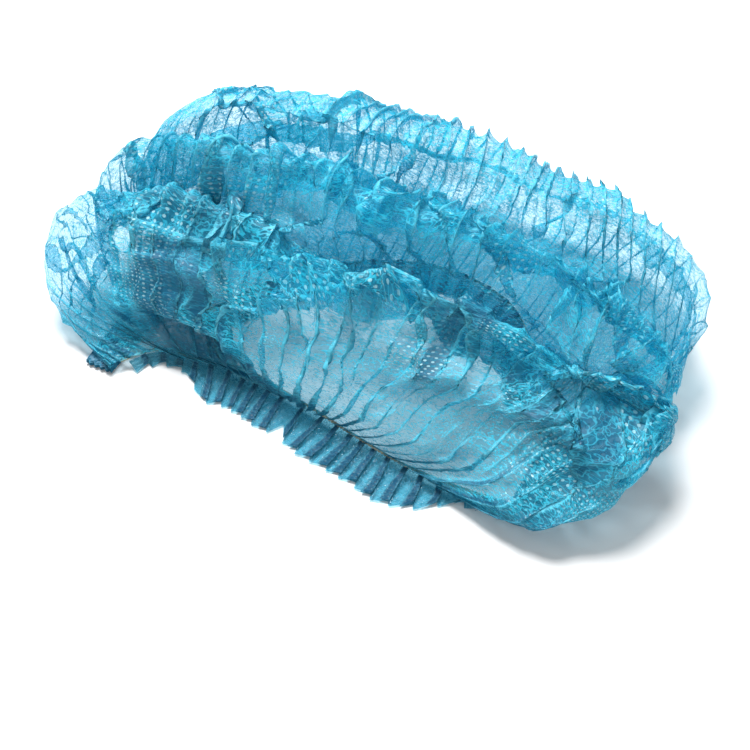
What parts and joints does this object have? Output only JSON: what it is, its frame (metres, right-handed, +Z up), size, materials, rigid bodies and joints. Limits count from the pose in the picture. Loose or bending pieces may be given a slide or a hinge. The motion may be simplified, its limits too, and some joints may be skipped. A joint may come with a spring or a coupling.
{
  "type": "disposable hairnet",
  "caption": "Pleated nonwoven bouffant cap, opened and set down on its rim, with gathered frills, elastic threads and a welded tab at each end.",
  "frame": {"origin": "middle of the cap's footprint, on the surface it rests on", "axes": "+X from the left weld tab to the right one, along the long creases; +Z up, towards the top of the crown; the front elastic and its frill are at -Y"},
  "size_m": [0.2598, 0.158, 0.0731],
  "materials": {
    "crown_cloth": "thin translucent spunbond nonwoven, matte fibres with small glints",
    "frill_cloth": "the same nonwoven, doubled in knife pleats",
    "elastic_thread": "matte twisted cream yarn",
    "welded_cloth": "stacked plies pressed flat with rows of small dashes"
  },
  "bodies": {
    "root": {"crown": "crown_cloth", "frill_front": "frill_cloth", "frill_back": "frill_cloth", "elastic_front": "elastic_thread", "elastic_back": "elastic_thread", "end_weld_left": "welded_cloth", "end_weld_right": "welded_cloth"}
  },
  "joints": []
}
